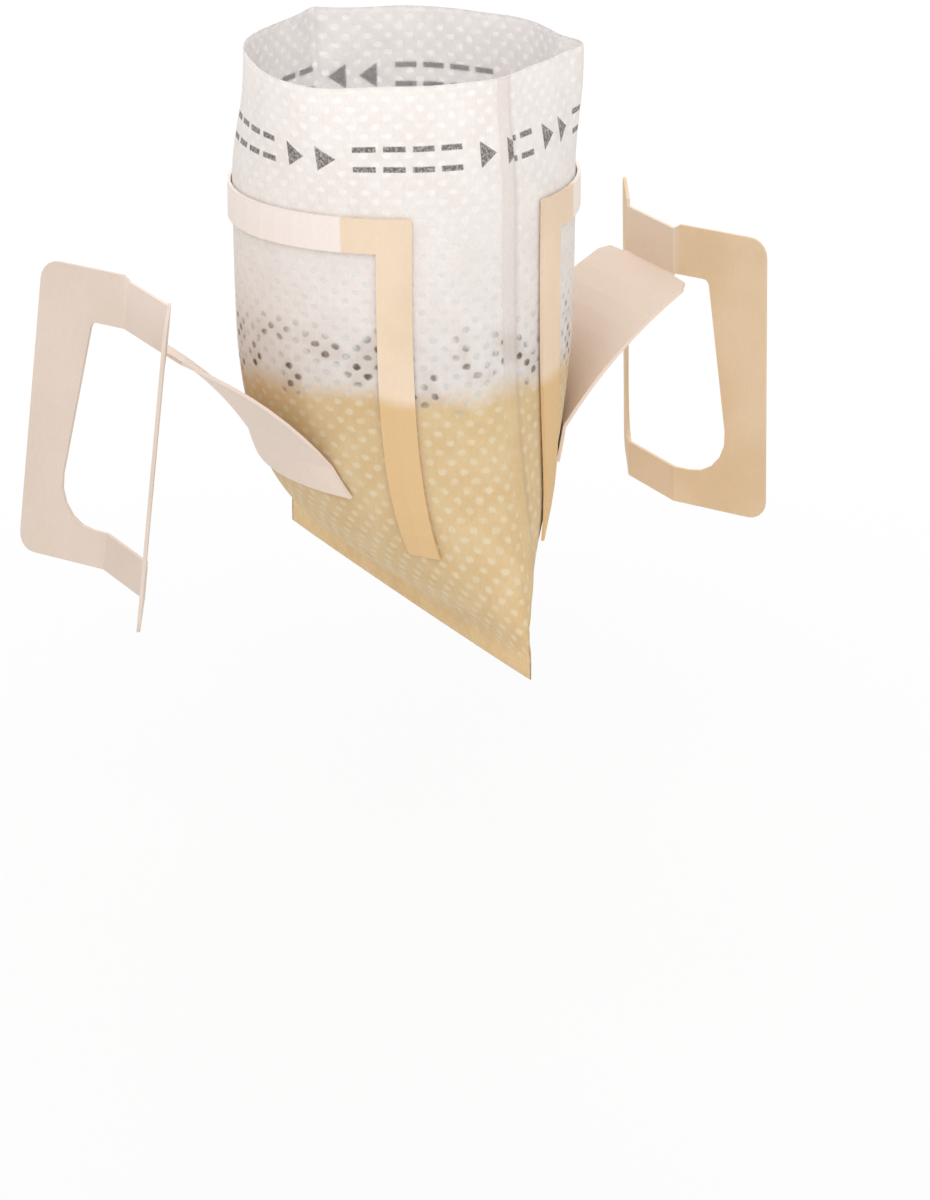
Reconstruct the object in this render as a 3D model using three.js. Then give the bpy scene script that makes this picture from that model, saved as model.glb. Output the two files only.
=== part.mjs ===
// Hanging paper tea filter: a pleatless non-woven bag, open at the top and sealed flat at the
// bottom, with a glued card frame and a folded card ear on each of its two faces.
// Units are millimetres. +Z is up and z = 0 is the plane of the cup rim that carries the ears.
// The ears lie along X, the bag's two side creases lie along Y.
import * as THREE from 'three';

// Filter bag
const bagFlatWidth = 71;
const mouthAboveRim = 35.2;
const bagBelowRim = 42.6;
const paperThickness = 0.4;
const sealHeight = 2.6;
const flareStart = 5.5;
const flareEnd = 2;
const creaseAtMouth = 0.56;
const creaseAtSeal = 0.72;
const lapWidth = 2.4;
const lapFromCrease = 2.7;
const lapRaise = 0.25;
const lapStep = 0.12;

// Card stock, shared by the frames and the ears
const cardThickness = 0.45;
const glueGap = 0.3;

// Card frame glued on each face
const frameWidth = 51.4;
const frameLegWidth = 4.6;
const frameBandHeight = 4.7;
const frameTop = 17.8;
const frameLegOverrun = 1.4;

// Ear ring, three panels side by side
const earReach = 38.4;
const middlePanelWidth = 12.4;
const sidePanelWidth = 14.7;
const sidePanelSwing = 27.5;
const leftEarLean = 0.12;
const rightEarLean = 0.02;
const ringTop = 6.4;
const shoulderRise = 0.7;
const ringBottom = -33.2;
const ringBottomBand = 5;
const ringCornerRadius = 2.6;
const windowTopWidth = 23.6;
const windowBottomWidth = 30.6;
const windowTopRadius = 0.9;
const windowBottomRadius = 6;

// Tongue cut from the window and folded in to the bag
const cutWidth = 0.4;
const tongueNotch = 0.5;
const tongueShoulderRadius = 1.3;
const tongueKneeReach = 27.4;
const tongueKneeDrop = 6.4;
const tongueGlueTop = -17;

// Tea leaves inside the bag
const leavesTop = 0.5;
const leavesGap = 0.35;
const leavesLump = 1.3;
const leavesLowest = 4.6;

// Fineness of the curved surfaces
const faceSegments = 26;
const bagLevels = 18;
const cornerSegments = 5;
const tongueColumns = 12;
const tongueFreeRows = 8;
const tongueGluedRows = 3;
const arcSamples = 90;

const bagHeight = mouthAboveRim + bagBelowRim;
const halfFace = bagFlatWidth / 2;
const mouthRadius = bagFlatWidth / Math.PI;
const halfMiddle = middlePanelWidth / 2;
const halfRing = halfMiddle + sidePanelWidth;
const swing = THREE.MathUtils.degToRad(sidePanelSwing);
const glueMiddle = glueGap + cardThickness / 2;

// Where the card lay flat on the face before the ear was pulled out
const flatRingTop = frameTop - frameBandHeight;
const flatRingBottom = flatRingTop - (ringTop - ringBottom);
const frameBottom = flatRingBottom - frameLegOverrun;
const windowBottom = ringBottom + ringBottomBand;
const tongueTopWidth = windowTopWidth - 2 * cutWidth;
const tongueBottomWidth = windowBottomWidth - 2 * cutWidth;
const tongueGlueBottom = flatRingBottom + ringBottomBand + cutWidth;

// Half width of the bag, crease to axis, at a height
function creaseReach(z) {
  const drop = THREE.MathUtils.clamp((mouthAboveRim - z) / (bagHeight - sealHeight), 0, 1);
  const open = Math.pow(1 - Math.pow(drop, flareStart), flareEnd);
  return halfFace - (halfFace - mouthRadius) * open;
}

// How sharp the side creases are at a height: 0.5 is a plain ellipse
function creaseSharpness(z) {
  const drop = (mouthAboveRim - z) / bagHeight;
  return THREE.MathUtils.lerp(creaseAtMouth, creaseAtSeal, drop);
}

// Quarter of the bag's section, from the middle of the +X face to the +Y crease
function quarterSection(depth, reach, sharpness) {
  const points = [];
  let length = 0;
  for (let i = 0; i <= arcSamples; i += 1) {
    const turn = (i / arcSamples) * (Math.PI / 2);
    const x = depth * Math.pow(Math.max(Math.cos(turn), 0), 2 * sharpness);
    const y = reach * Math.sin(turn);
    if (i > 0) {
      const last = points[i - 1];
      length += Math.hypot(x - last.x, y - last.y);
    }
    points.push({ x, y, length });
  }
  return points;
}

// The paper can't stretch, so the section's depth follows from its width
const sectionCache = new Map();
function section(z) {
  const key = z.toFixed(5);
  if (!sectionCache.has(key)) {
    const reach = creaseReach(z);
    const sharpness = creaseSharpness(z);
    let low = 0;
    let high = 1.3 * mouthRadius;
    for (let i = 0; i < 40; i += 1) {
      const middle = (low + high) / 2;
      const points = quarterSection(middle, reach, sharpness);
      if (points[arcSamples].length < halfFace) low = middle;
      else high = middle;
    }
    const depth = Math.max((low + high) / 2, paperThickness);
    sectionCache.set(key, { depth, reach, sharpness, points: quarterSection(depth, reach, sharpness) });
  }
  return sectionCache.get(key);
}

// Point and outward direction on the +X face, at u along the paper from the face's middle line
function facePoint(u, z, offset = 0) {
  const { points } = section(z);
  const along = Math.min(Math.abs(u) / halfFace, 1) * points[arcSamples].length;
  let i = 1;
  while (i < arcSamples && points[i].length < along) i += 1;
  const a = points[i - 1];
  const b = points[i];
  const share = (along - a.length) / Math.max(b.length - a.length, 1e-9);
  const side = Math.sign(u) || 1;
  const x = THREE.MathUtils.lerp(a.x, b.x, share);
  const y = THREE.MathUtils.lerp(a.y, b.y, share);
  const step = Math.hypot(b.x - a.x, b.y - a.y);
  const out = new THREE.Vector2((b.y - a.y) / step, (a.x - b.x) / step);
  return new THREE.Vector3(x + out.x * offset, side * (y + out.y * offset), z);
}

// A thin sheet: faces are listed once, seen from its front, and edges that stay open get a wall
class Sheet {
  constructor() {
    this.numbers = new Map();
    this.front = [];
    this.back = [];
    this.faces = [];
  }

  point(key, front, back) {
    if (!this.numbers.has(key)) {
      this.numbers.set(key, this.front.length);
      this.front.push(front);
      this.back.push(back);
    }
    return this.numbers.get(key);
  }

  face(a, b, c) {
    this.faces.push([a, b, c]);
  }

  quad(a, b, c, d) {
    this.face(a, b, c);
    this.face(a, c, d);
  }

  geometry() {
    const count = this.front.length;
    const index = [];
    const edges = new Set();
    for (const [a, b, c] of this.faces) {
      index.push(a, b, c, a + count, c + count, b + count);
      for (const [from, to] of [[a, b], [b, c], [c, a]]) edges.add(`${from}_${to}`);
    }
    for (const edge of edges) {
      const [from, to] = edge.split('_').map(Number);
      if (!edges.has(`${to}_${from}`)) {
        index.push(from, from + count, to + count, from, to + count, to);
      }
    }
    return indexedGeometry([...this.front, ...this.back], index);
  }
}

function indexedGeometry(points, index) {
  const geometry = new THREE.BufferGeometry();
  geometry.setAttribute('position', new THREE.Float32BufferAttribute(points.flatMap((p) => p.toArray()), 3));
  geometry.setIndex(index);
  geometry.computeVertexNormals();
  return geometry;
}

// Outline from corners [x, y, radius]; a corner with a radius becomes an arc
function roundedOutline(corners) {
  const outline = [];
  corners.forEach(([x, y, radius], i) => {
    const corner = new THREE.Vector2(x, y);
    if (!radius) {
      outline.push(corner);
      return;
    }
    const before = corners[(i + corners.length - 1) % corners.length];
    const after = corners[(i + 1) % corners.length];
    const toBefore = new THREE.Vector2(before[0] - x, before[1] - y).normalize();
    const toAfter = new THREE.Vector2(after[0] - x, after[1] - y).normalize();
    const half = Math.acos(THREE.MathUtils.clamp(toBefore.dot(toAfter), -1, 1)) / 2;
    const bisector = toBefore.clone().add(toAfter).normalize();
    const centre = corner.clone().addScaledVector(bisector, radius / Math.sin(half));
    const start = corner.clone().addScaledVector(toBefore, radius / Math.tan(half)).sub(centre);
    const end = corner.clone().addScaledVector(toAfter, radius / Math.tan(half)).sub(centre);
    const sweep = Math.atan2(start.cross(end), start.dot(end));
    for (let k = 0; k <= cornerSegments; k += 1) {
      outline.push(start.clone().rotateAround(new THREE.Vector2(), (sweep * k) / cornerSegments).add(centre));
    }
  });
  return outline;
}

// Places along the paper of one face, with the edges of the lap seam added at both creases
function faceStations() {
  const lapNear = halfFace - lapFromCrease;
  const lapFar = lapNear - lapWidth;
  const lapEdges = [lapNear, lapNear - lapStep, lapFar + lapStep, lapFar];
  const stations = [];
  for (let i = 0; i <= faceSegments; i += 1) {
    const u = -halfFace + (bagFlatWidth * i) / faceSegments;
    const nearLap = lapEdges.some((edge) => Math.abs(Math.abs(u) - edge) < 2 * lapStep);
    if (!nearLap) stations.push(u);
  }
  for (const edge of lapEdges) stations.push(edge, -edge);
  return stations.sort((a, b) => a - b);
}

// Heights from the mouth down to a level, closer together where the bag narrows
function levelsDownTo(lowest, count) {
  const levels = [];
  for (let i = 0; i <= count; i += 1) {
    const share = 1 - Math.pow(1 - i / count, 1.5);
    levels.push(THREE.MathUtils.lerp(mouthAboveRim, lowest, share));
  }
  return levels;
}

// One closed ring of the bag's wall; the second face is the first one turned half a circle
function bagRing(z, stations, inset) {
  const { depth, reach, sharpness } = section(z);
  const flatness = 1 + 2 * Math.pow(1 - depth / mouthRadius, 2);
  const ring = [];
  for (const side of [1, -1]) {
    for (const u of stations.slice(0, -1)) {
      let point = facePoint(u, z);
      if (inset > 0) {
        const share = Math.min(Math.abs(point.y) / reach, 1);
        const inner = Math.max(depth - inset, 0.1 * paperThickness);
        const innerReach = reach - inset * flatness;
        point.x = inner * Math.pow(1 - share * share, sharpness);
        point.y = Math.sign(u) * share * innerReach;
      } else if (side === 1 && onLap(u)) {
        point = facePoint(u, z, Math.min(lapRaise, depth / 4));
      }
      ring.push(new THREE.Vector3(side * point.x, side * point.y, z));
    }
  }
  return ring;
}

function onLap(u) {
  const fromCrease = u + halfFace;
  return fromCrease > lapFromCrease + lapStep / 2 && fromCrease < lapFromCrease + lapWidth - lapStep / 2;
}

// Quads between two rings of equal length, with the side that faces out on the first ring's left
function joinRings(index, upper, lower, count) {
  for (let i = 0; i < count; i += 1) {
    const next = (i + 1) % count;
    index.push(upper + i, lower + i, lower + next, upper + i, lower + next, upper + next);
  }
}

// Fills a ring whose second half is the first half turned half a circle
function capRing(index, start, count, facesUp) {
  const half = count / 2;
  for (let i = 0; i < half; i += 1) {
    const a = start + i;
    const b = start + i + 1;
    const c = start + ((count - i - 1) % count);
    const d = start + ((count - i) % count);
    const triangles = i === 0 ? [[a, b, c]] : i === half - 1 ? [[a, b, d]] : [[a, b, c], [a, c, d]];
    for (const [p, q, r] of triangles) {
      if (facesUp) index.push(p, q, r);
      else index.push(p, r, q);
    }
  }
}

function filterBagGeometry() {
  const stations = faceStations();
  const count = 2 * (stations.length - 1);
  const outerLevels = [...levelsDownTo(sealHeight - bagBelowRim, bagLevels), -bagBelowRim];
  const innerLevels = levelsDownTo(sealHeight - bagBelowRim + paperThickness, bagLevels);
  const points = [];
  const index = [];
  const addRing = (ring) => {
    points.push(...ring);
    return points.length - ring.length;
  };
  const outer = outerLevels.map((z) => addRing(bagRing(z, stations, 0)));
  const inner = innerLevels.map((z) => addRing(bagRing(z, stations, paperThickness)));
  for (let i = 1; i < outer.length; i += 1) joinRings(index, outer[i - 1], outer[i], count);
  for (let i = 1; i < inner.length; i += 1) joinRings(index, inner[i], inner[i - 1], count);
  joinRings(index, inner[0], outer[0], count);
  capRing(index, outer[outer.length - 1], count, false);
  capRing(index, inner[inner.length - 1], count, true);
  return indexedGeometry(points, index);
}

// Card strip on the +X face, from cells of a grid of places u and heights z
function gluedCells(sheet, places, heights, isFilled) {
  const corner = (i, j) => sheet.point(
    `${i}_${j}`,
    facePoint(places[i], heights[j], glueGap + cardThickness),
    facePoint(places[i], heights[j], glueGap),
  );
  for (let i = 1; i < places.length; i += 1) {
    for (let j = 1; j < heights.length; j += 1) {
      if (isFilled((places[i] + places[i - 1]) / 2, (heights[j] + heights[j - 1]) / 2)) {
        sheet.quad(corner(i - 1, j), corner(i, j), corner(i, j - 1), corner(i - 1, j - 1));
      }
    }
  }
}

function evenSteps(from, to, longest) {
  const count = Math.ceil(Math.abs(to - from) / longest - 1e-9);
  return Array.from({ length: count + 1 }, (_, i) => from + ((to - from) * i) / count);
}

function cardFrameGeometry() {
  const outer = frameWidth / 2;
  const inner = outer - frameLegWidth;
  const cell = 3;
  const places = [
    ...evenSteps(-outer, -inner, cell),
    ...evenSteps(-inner, inner, cell).slice(1),
    ...evenSteps(inner, outer, cell).slice(1),
  ];
  const heights = [
    ...evenSteps(frameTop, flatRingTop, frameBandHeight),
    ...evenSteps(flatRingTop, frameBottom, cell).slice(1),
  ];
  const sheet = new Sheet();
  gluedCells(sheet, places, heights, (u, z) => Math.abs(u) > inner || z > flatRingTop);
  return sheet.geometry();
}

// Point on the folded ring, v across from the ear's middle and h above the rim
function ringPoint(v, h, lean, offset) {
  const side = Math.sign(v);
  const past = Math.max(Math.abs(v) - halfMiddle, 0);
  const atFold = Math.abs(Math.abs(v) - halfMiddle) < 1e-6;
  const turn = atFold ? swing / 2 : past > 0 ? swing : 0;
  const length = atFold ? offset / Math.cos(turn) : offset;
  const x = earReach - lean * h + past * Math.sin(swing) + length * Math.cos(turn);
  const y = side * (Math.min(Math.abs(v), halfMiddle) + past * Math.cos(swing)) - side * length * Math.sin(turn);
  return new THREE.Vector3(x, y, h);
}

function sidePanelCorners() {
  return [
    [halfMiddle, ringTop, 0],
    [halfMiddle, 0, 0],
    [windowTopWidth / 2, 0, windowTopRadius],
    [windowBottomWidth / 2, windowBottom, windowBottomRadius],
    [halfMiddle, windowBottom, 0],
    [halfMiddle, ringBottom, 0],
    [halfRing, ringBottom, ringCornerRadius],
    [halfRing, ringTop + shoulderRise, ringCornerRadius],
    [halfMiddle + 1.5 * shoulderRise, ringTop + shoulderRise, 0],
  ];
}

// Middle line of the tongue for a place across it, from the fold down to the bag
function tonguePoint(across, along) {
  const fold = new THREE.Vector3(earReach, across, 0);
  if (along <= 1) {
    const landing = facePoint(across, tongueGlueTop, glueMiddle);
    const sag = (facePoint(0, tongueGlueTop, glueMiddle).x - landing.x) / 2;
    const knee = new THREE.Vector3(tongueKneeReach - sag, (across + landing.y) / 2, -tongueKneeDrop);
    return new THREE.QuadraticBezierCurve3(fold, knee, landing).getPoint(along);
  }
  const z = THREE.MathUtils.lerp(tongueGlueTop, tongueGlueBottom, along - 1);
  return facePoint(across, z, glueMiddle);
}

function tongueNormal(across, along) {
  const step = 0.02;
  const right = tonguePoint(across + step, along).sub(tonguePoint(across - step, along));
  const high = Math.max(along - step, 0);
  const low = Math.min(along + step, 2);
  const up = tonguePoint(across, high).sub(tonguePoint(across, low));
  return right.cross(up).normalize();
}

// Rows of the tongue below its fold: where along, and how wide
function tongueRows() {
  const free = tonguePoint(0, 1).distanceTo(tonguePoint(0, 0));
  const rows = [
    { along: tongueNotch / free, half: halfMiddle + tongueNotch },
    { along: (1.3 * tongueNotch) / free, half: tongueTopWidth / 2 - tongueShoulderRadius },
    { along: (tongueNotch + tongueShoulderRadius) / free, half: tongueTopWidth / 2 },
  ];
  const start = rows[2].along;
  for (let i = 1; i <= tongueFreeRows; i += 1) rows.push({ along: start + ((1 - start) * i) / tongueFreeRows });
  for (let i = 1; i <= tongueGluedRows; i += 1) rows.push({ along: 1 + i / tongueGluedRows });
  for (const row of rows.slice(3)) {
    const share = (row.along - start) / (2 - start);
    row.half = THREE.MathUtils.lerp(tongueTopWidth, tongueBottomWidth, share) / 2;
  }
  return rows;
}

function earGeometry(lean) {
  const sheet = new Sheet();
  const half = cardThickness / 2;
  const onRing = (v, h) => sheet.point(
    `ring_${v.toFixed(4)}_${h.toFixed(4)}`,
    ringPoint(v, h, lean, half),
    ringPoint(v, h, lean, -half),
  );

  for (const side of [-1, 1]) {
    const outline = roundedOutline(sidePanelCorners().map(([v, h, radius]) => [side * v, h, radius]));
    for (const triangle of THREE.ShapeUtils.triangulateShape(outline, [])) {
      const corners = triangle.map((i) => outline[i]);
      const turn = corners[1].clone().sub(corners[0]).cross(corners[2].clone().sub(corners[0]));
      if (turn < 0) corners.reverse();
      sheet.face(...corners.map((corner) => onRing(corner.x, corner.y)));
    }
  }

  const columns = Array.from({ length: tongueColumns + 1 }, (_, i) => -1 + (2 * i) / tongueColumns);
  const bands = [[ringTop, 0], [windowBottom, ringBottom]];
  for (const [high, low] of bands) {
    for (let i = 1; i < columns.length; i += 1) {
      const from = columns[i - 1] * halfMiddle;
      const to = columns[i] * halfMiddle;
      sheet.quad(onRing(from, low), onRing(to, low), onRing(to, high), onRing(from, high));
    }
  }

  let above = columns.map((column) => onRing(column * halfMiddle, 0));
  tongueRows().forEach((row, j) => {
    const below = columns.map((column, i) => {
      const point = tonguePoint(column * row.half, row.along);
      const normal = tongueNormal(column * row.half, row.along).multiplyScalar(half);
      return sheet.point(`tongue_${j}_${i}`, point.clone().add(normal), point.clone().sub(normal));
    });
    for (let i = 1; i < columns.length; i += 1) sheet.quad(below[i - 1], below[i], above[i], above[i - 1]);
    above = below;
  });
  return sheet.geometry();
}

// Heap of soaked leaves that fills the lower part of the bag, with a lumpy top
function teaLeavesGeometry() {
  const stations = evenSteps(-halfFace, halfFace, 3.4);
  const count = 2 * (stations.length - 1);
  const inset = paperThickness + leavesGap;
  const lowest = sealHeight + leavesLowest - bagBelowRim;
  const sideLevels = evenSteps(leavesTop - 2 * leavesLump, lowest, 3.6);
  const points = [];
  const index = [];
  const rings = sideLevels.map((z) => {
    const ring = bagRing(z, stations, inset + (z < leavesTop - 4 * leavesLump ? 0 : leavesGap));
    points.push(...ring);
    return points.length - ring.length;
  });
  for (let i = 1; i < rings.length; i += 1) joinRings(index, rings[i - 1], rings[i], count);
  capRing(index, rings[rings.length - 1], count, false);
  let outerRing = rings[0];
  for (const share of [0.86, 0.66, 0.42, 0.2]) {
    const rim = points.slice(rings[0], rings[0] + count);
    const start = points.length;
    for (const point of rim) {
      const x = point.x * share;
      const y = point.y * share;
      const lump = Math.sin(0.55 * x + 0.9) * Math.cos(0.47 * y - 0.4) + 0.5 * Math.sin(0.31 * (x - y));
      const dome = (1 - share * share) * 1.4 * leavesLump;
      points.push(new THREE.Vector3(x, y, leavesTop - leavesLump + dome + 0.6 * leavesLump * lump));
    }
    joinRings(index, start, outerRing, count);
    outerRing = start;
  }
  capRing(index, outerRing, count, true);
  return indexedGeometry(points, index);
}

const paper = new THREE.MeshStandardMaterial({ color: 0xf1e9e2, roughness: 0.85, metalness: 0 });
const card = new THREE.MeshStandardMaterial({ color: 0xe4cfb4, roughness: 0.8, metalness: 0 });
const leaves = new THREE.MeshStandardMaterial({ color: 0x4b3b2c, roughness: 0.9, metalness: 0 });

function part(name, geometry, material) {
  const mesh = new THREE.Mesh(geometry, material);
  mesh.name = name;
  return mesh;
}

const filter = new THREE.Group();
filter.add(part('filter_bag', filterBagGeometry(), paper));
filter.add(part('tea_leaves', teaLeavesGeometry(), leaves));

const rightSide = new THREE.Group();
rightSide.add(part('right_card_frame', cardFrameGeometry(), card));
rightSide.add(part('right_ear', earGeometry(rightEarLean), card));
filter.add(rightSide);

const leftSide = new THREE.Group();
leftSide.add(part('left_card_frame', cardFrameGeometry(), card));
leftSide.add(part('left_ear', earGeometry(leftEarLean), card));
leftSide.rotation.z = Math.PI;
filter.add(leftSide);

export default filter;
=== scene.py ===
"""Hanging paper tea filter: a dotted non-woven bag with two glued card frames and two folded card ears."""
import functools
import math
import random

import bpy
import numpy as np
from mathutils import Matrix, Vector, noise


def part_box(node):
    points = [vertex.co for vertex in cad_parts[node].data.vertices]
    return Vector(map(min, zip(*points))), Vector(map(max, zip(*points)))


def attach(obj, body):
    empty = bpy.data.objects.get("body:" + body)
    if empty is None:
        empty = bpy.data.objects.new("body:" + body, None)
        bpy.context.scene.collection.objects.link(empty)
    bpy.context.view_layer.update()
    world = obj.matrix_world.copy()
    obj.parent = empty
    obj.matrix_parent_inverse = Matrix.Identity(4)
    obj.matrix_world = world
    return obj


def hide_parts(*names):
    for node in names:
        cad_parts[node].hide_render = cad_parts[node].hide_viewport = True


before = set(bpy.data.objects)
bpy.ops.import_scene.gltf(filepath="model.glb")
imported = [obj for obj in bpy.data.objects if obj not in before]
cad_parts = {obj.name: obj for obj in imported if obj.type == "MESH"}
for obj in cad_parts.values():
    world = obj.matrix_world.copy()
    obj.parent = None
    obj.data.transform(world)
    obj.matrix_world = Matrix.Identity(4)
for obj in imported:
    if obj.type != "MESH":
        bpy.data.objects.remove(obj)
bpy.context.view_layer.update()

# Lengths are in millimetres where nothing else is said, and become metres where Blender takes them
MM = 0.001

# Camera, fitted to the photograph; angles in degrees
CAMERA_AZIMUTH = -27.46
CAMERA_ELEVATION = 17.15
CAMERA_DISTANCE = 642.2
CAMERA_AIM_SIDE = 8.08
CAMERA_AIM_HEIGHT = -43.2
CAMERA_LENS = 142.8
SENSOR = 36.0
CLIP_NEAR = 10.0
CLIP_FAR = 10000.0

# Floor and light; the lamps' sizes and places are in metres
FLOOR_HEIGHT = -92.0
FLOOR_SIZE = 24000.0
FLOOR_GREY = (0.8, 0.8, 0.8, 1.0)
FLOOR_GLOW = 0.7
WHITE = (1.0, 1.0, 1.0, 1.0)
AMBIENT = 0.93
BACKDROP_GLOW = 1.0
KEY_POWER = 1.45
KEY_SIZE = 0.45
KEY_PLACE = (-0.28, -0.52, 0.46)
BACK_POWER = 1.65
BACK_SIZE = 0.5
BACK_PLACE = (0.3, 0.55, 0.3)

# Bag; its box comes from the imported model
bag_low, bag_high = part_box("filter_bag")
MOUTH = bag_high.z / MM
BOTTOM = bag_low.z / MM
HALF_FACE = (bag_high.y - bag_low.y) / 2 / MM
BAG_HEIGHT = MOUTH - BOTTOM
MOUTH_RADIUS = 2 * HALF_FACE / math.pi
SEAL_HEIGHT = 2.6
SEAL_TOP = BOTTOM + SEAL_HEIGHT
SHELL = 0.16

# Section of the bag: exponents of how it opens upward and how sharp its creases are, and its least depth
FLARE_START = 5.5
FLARE_END = 2.0
CREASE_AT_MOUTH = 0.56
CREASE_AT_SEAL = 0.72
FLATTEST = 0.4

# Search for the section's depth: points in a quarter, highest guess in mouth radii, and halvings
ARC_SAMPLES = 180
DEEPEST_GUESS = 1.3
HALVINGS = 40

# Sections that the leaves look up, for each millimetre of height
SECTIONS_IN_A_MM = 10

# Grid of the bag's mesh
STATIONS = 83
STATION_ROOM = 0.3
BODY_LEVELS = 88
SEAL_LEVELS = 7
INNER_FLOOR_RISE = 0.3

# The places on the paper are stored in the mesh's paper layer divided by this
PLACE_SCALE = 100.0

# Lap seam, a strip down the +X face beside the -Y crease
LAP_FROM_CREASE = 2.7
LAP_WIDTH = 2.4
LAP_RAISE = 0.16
LAP_STEP = 0.1

# The open mouth's own uneven loop: angle in degrees, bulge in millimetres, spread in degrees
MOUTH_LOOP_RADIUS = 21.2
MOUTH_LOBES = [(-150, 3.4, 24), (-26, 2.6, 10), (60, 0.8, 25), (-64, -1.0, 12)]
MOUTH_CREASE = (93, 3.4, 10)
LOOP_FROM = 18.6
LOOP_FULL = 33.0
HALF_TURN = 180
TINY = 1e-6

# Soft waves of the paper: strength on the body, at the mouth and at the foot, and cycles a millimetre
WAVE_BODY = 0.1
WAVE_MOUTH = 0.35
WAVE_FOOT = 0.18
WAVE_FOOT_FROM = -28
WAVE_FOOT_FULL = -34
WAVE_SLOW = (0.11, 0.11, 0.075)
WAVE_FINE = (0.35, 0.35, 0.28)
WAVE_FINE_START = 9
WAVE_FINE_SHARE = 0.3
WAVE_FULL_DEPTH = 4
WAVE_FROM_RADIUS = 3
RIM_WAVE = 0.35
RIM_WAVE_SCALE = (0.09, 0.09, 0)
RIM_WAVE_START = 4.0

# Dots pressed into the paper; a dot's edge fades between two shares of its half width
DOT_PITCH = 2.9
DOT_ROWS = 2.5
DOT_WIDTH = 1.15
DOT_HEIGHT = 0.9
DOT_WOBBLE = 0.55
DOT_EDGE = (1.3, 0.6)

# Printed band below the mouth
PRINT_HEIGHT = 25.6
PRINT_PERIOD = 25.9
PRINT_START = 12.2
TRIANGLE_STARTS = (0.0, 4.3)
TRIANGLE_WIDTH = 2.5
TRIANGLE_HEIGHT = 3.5
TRIANGLE_BLUR = 0.07
TRIANGLE_FOOT_BLUR = 0.03
BARS_START = 8.9
BAR_COUNT = 4
BAR_WIDTH = 2.9
BAR_PITCH = 3.85
BAR_THICKNESS = 0.75
BAR_SPREAD = 1.35
EDGE_BLUR = 0.08

# Pressed pattern of the bottom seal, in radians a millimetre, its relief, and how much it flattens dots
SEAL_RIDGES = 4.2
SEAL_RELIEF = 0.8
SEAL_BLUR = 0.2
SEAL_FLATTENS = 0.8

# Soaked part, and the heights between which leaves show through the paper
TIDE_LINE = -6.5
TIDE_ABOVE = 2.4
TIDE_BELOW = 2.0
TIDE_DRIFT = 7.0
LEAVES_SHOW_FROM = 1.5
LEAVES_SHOW_TO = -8.0
LEAVES_SHOW_BLUR = 2.6

# Noises: scale a millimetre, detail and roughness
DOT_WOBBLE_NOISE = (0.9, 2.0, 0.5)
DOT_FADE_NOISE = (0.45, 2.0, 0.5)
FIBRE_NOISE = (2.6, 5.0, 0.65)
CLOUD_NOISE = (0.22, 3.0, 0.5)
TIDE_NOISE = (0.12, 4.0, 0.5)
CONTACT_NOISE = (0.19, 3.0, 0.5)
WORN_NOISE = (3.4, 4.0, 0.5)
GRAIN_NOISE = (3.2, 4.0, 0.6)
CARD_CLOUD_NOISE = (0.09, 2.0, 0.5)
CARD_TIDE_NOISE = (0.15, 2.0, 0.5)
LEAF_CLOUD_NOISE = (0.35, 4.0, 0.6)
VEIN_NOISE = (1.6, 5.0, 0.7)
FIBRE_STRETCH = (1.0, 1.0, 0.45)
GRAIN_STRETCH = (1.0, 1.0, 0.3)
VEIN_STRETCH = (1.0, 1.0, 3.0)

# Ramps over a noise: from, to, and where four are given, the values there
CLOUD_BAND = (0.3, 0.7)
CONTACT_BAND = (0.47, 0.6)
DOT_FADE = (0.3, 0.6, 0.55, 1.0)
WORN_BAND = (0.3, 0.62, 0.55, 1.0)
FIBRE_SHADE = (0.35, 0.65, 0.95, 1.0)
GRAIN_SHADE = (0.3, 0.7, 0.965, 1.0)
GRAIN_ROUGHNESS = (0.3, 0.7, 0.55, 0.72)
VEIN_BAND = (0.4, 0.75)
VEIN_ROUGHNESS = (0.3, 0.7, 0.35, 0.6)

# How strongly each mark tints the paper
LAP_TINT = 0.6
# The two dot tints paint light shining through the thinner pressed paper of the dots
DRY_DOT_SHINE_THROUGH_TINT = 0.95
SOAKED_DOT_SHINE_THROUGH_TINT = 0.85
CONTACT_TINT = 0.16
CONTACT_DOT_TINT = 0.85

# Surface of the paper; the reliefs are heights in millimetres
PAPER_ROUGHNESS = 0.88
PAPER_SPECULAR = 0.2
PAPER_SHEEN = 0.1
PAPER_RELIEF = 0.05
PAPER_BUMP = 0.8
FIBRE_RELIEF = 0.5

# How much shows straight through the paper, and the heights between which that changes
OPENNESS_FROM = 6.0
OPENNESS_TO = 22.0
LOWER_DOT_OPENNESS = 0.24
UPPER_GROUND_OPENNESS = 0.03
SOAKED_DOT_OPENNESS = 0.02
SOAKED_OPENNESS = 0.03

# Card: the frame band's paler middle, the tongues inside the ears' middle panels, and the surface
PALE_HALF = 15.2
PALE_BLUR = 0.15
BAND_FOOT = (12.9, 13.3)
EAR_REACH = 38.4
TONGUE_FROM = EAR_REACH + 0.4
TONGUE_FULL = EAR_REACH - 0.8
CARD_TIDE_DRIFT = 3.0
CARD_SPECULAR = 0.35
CARD_RELIEF = 0.03
CARD_BUMP = 0.6

# Tea leaves: the shape of one
LEAF_ROWS = 8
LEAF_COLUMNS = 4
LEAF_SLIMNESS = (0.45, 0.7)
LEAF_CURL = (0.2, 1.1)
LEAF_TWIST = 1.2
LEAF_PHASE = 6.28
LEAF_TIP = 0.06
LEAF_FULLNESS = 0.8
LEAF_RIPPLE = 0.12
RIPPLES_ALONG = 7
RIPPLES_ACROSS = 2
LEAF_THICKNESS = 0.16
LEAF_ARCH = 0.18
LEAF_RELIEF = 0.12
LEAF_BUMP = 0.9
LEAF_SPECULAR = 0.45

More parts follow.
